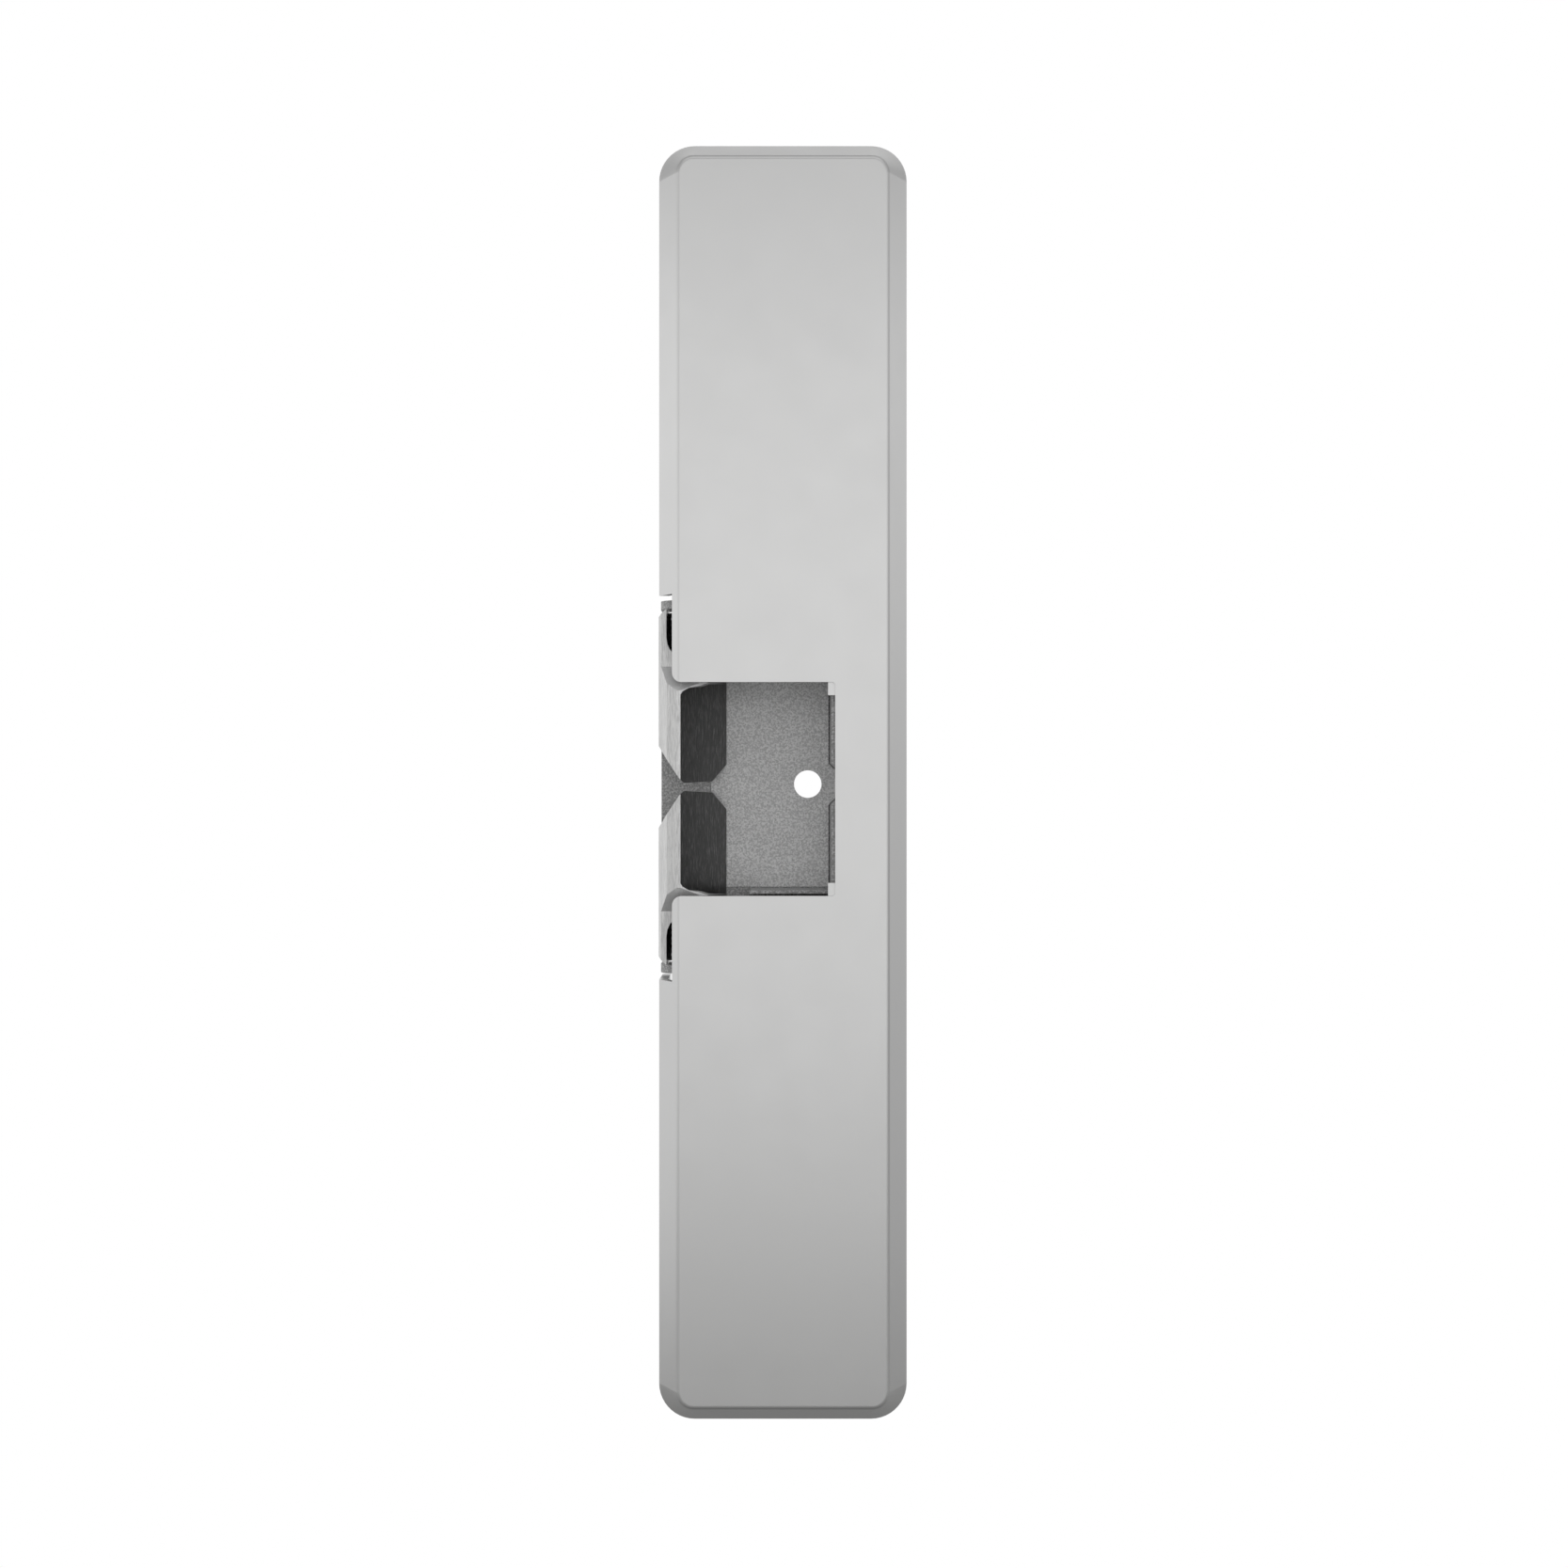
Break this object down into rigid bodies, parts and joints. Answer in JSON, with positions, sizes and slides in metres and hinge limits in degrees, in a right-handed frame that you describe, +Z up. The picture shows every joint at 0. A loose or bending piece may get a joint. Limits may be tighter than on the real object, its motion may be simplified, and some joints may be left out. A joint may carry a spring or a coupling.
{
  "type": "electric door strike",
  "caption": "Surface-mounted electric strike for a rim latch: bevelled cover, open latch pocket, swinging keepers, solenoid-driven locking levers inside.",
  "frame": {"origin": "centre of the back face, on the jamb", "axes": "+Z up along the strike, +X from the keeper side to the far side, -Y out of the face, +Y into the jamb"},
  "size_m": [0.0447, 0.0191, 0.2286],
  "materials": {
    "cover_paint": "satin, fine grain",
    "cast_base": "sintered, grainy",
    "cast_floor": "sintered, grainy",
    "keeper_steel": "brushed stainless",
    "pin_steel": "ground",
    "spring_steel": "drawn wire",
    "lever_steel": "zinc plated, yellowish",
    "clip_steel": "black phosphate",
    "solenoid_plate": "zinc plated",
    "bobbin_nylon": "natural nylon",
    "winding": "enamelled copper wire",
    "soft_iron": "nickel plated",
    "screw_steel": "zinc plated",
    "cover_screw_steel": "stainless",
    "board_epoxy": "solder mask over glass epoxy",
    "header_nylon": "white nylon",
    "header_brass": "plated",
    "disc_epoxy": "dipped epoxy",
    "diode_epoxy": "moulded epoxy"
  },
  "bodies": {
    "housing": {"cover": "cover_paint", "base": "cast_base", "pocket_floor": "cast_floor", "upper_keeper_pin": "pin_steel", "lower_keeper_pin": "pin_steel", "upper_keeper_spring": "spring_steel", "lower_keeper_spring": "spring_steel", "lever_pins": "pin_steel", "lever_clips": "clip_steel", "upper_frame": "solenoid_plate", "lower_frame": "solenoid_plate", "upper_bobbin": "bobbin_nylon", "lower_bobbin": "bobbin_nylon", "upper_coil": "winding", "lower_coil": "winding", "upper_core": "soft_iron", "lower_core": "soft_iron", "upper_return_spring": "spring_steel", "lower_return_spring": "spring_steel", "solenoid_screws": "screw_steel", "cover_screws": "cover_screw_steel", "board_screws": "screw_steel", "circuit_board": "board_epoxy", "lead_header": "header_nylon", "header_pins": "header_brass", "surge_disc": "disc_epoxy", "diodes": "diode_epoxy"},
    "upper_keeper_body": {"upper_keeper": "keeper_steel"},
    "lower_keeper_body": {"lower_keeper": "keeper_steel"},
    "upper_lever_body": {"upper_lever": "lever_steel"},
    "lower_lever_body": {"lower_lever": "lever_steel"},
    "upper_plunger_body": {"upper_plunger": "soft_iron", "upper_plunger_pin": "pin_steel", "upper_collar": "clip_steel"},
    "lower_plunger_body": {"lower_plunger": "soft_iron", "lower_plunger_pin": "pin_steel", "lower_collar": "clip_steel"}
  },
  "joints": [
    {"name": "upper_keeper_swing", "type": "hinge", "parent": "housing", "child": "upper_keeper_body", "pos_m": [-0.01815, -0.0048, 0.0192], "axis": [0, 0, 1], "range_deg": [-60, 0], "stiffness_Nm_per_rad": 0.012, "springref_deg": 28.65, "deforming": ["upper_keeper_spring"]},
    {"name": "upper_plunger_slide", "type": "slide", "parent": "housing", "child": "upper_plunger_body", "axis": [0, 0, 1], "range_m": [0, 0.00265], "stiffness_N_per_m": 250, "springref_m": -0.003, "deforming": ["upper_return_spring"]},
    {"name": "upper_lever_turn", "type": "hinge", "parent": "housing", "child": "upper_lever_body", "pos_m": [0.002, -0.0102, 0.0422], "axis": [0, 1, 0], "range_deg": [0, 15.5]},
    {"name": "lower_keeper_swing", "type": "hinge", "parent": "housing", "child": "lower_keeper_body", "pos_m": [-0.01815, -0.0048, -0.0208], "axis": [0, 0, 1], "range_deg": [-60, 0], "stiffness_Nm_per_rad": 0.012, "springref_deg": 28.65, "deforming": ["lower_keeper_spring"]},
    {"name": "lower_plunger_slide", "type": "slide", "parent": "housing", "child": "lower_plunger_body", "axis": [0, 0, -1], "range_m": [0, 0.00265], "stiffness_N_per_m": 250, "springref_m": -0.003, "deforming": ["lower_return_spring"]},
    {"name": "lower_lever_turn", "type": "hinge", "parent": "housing", "child": "lower_lever_body", "pos_m": [0.002, -0.0102, -0.0438], "axis": [0, -1, 0], "range_deg": [0, 15.5]}
  ],
  "couplings": [
    {"joint": "upper_lever_turn", "follows": "upper_plunger_slide", "rad_per_m": 100},
    {"joint": "lower_lever_turn", "follows": "lower_plunger_slide", "rad_per_m": 100}
  ]
}
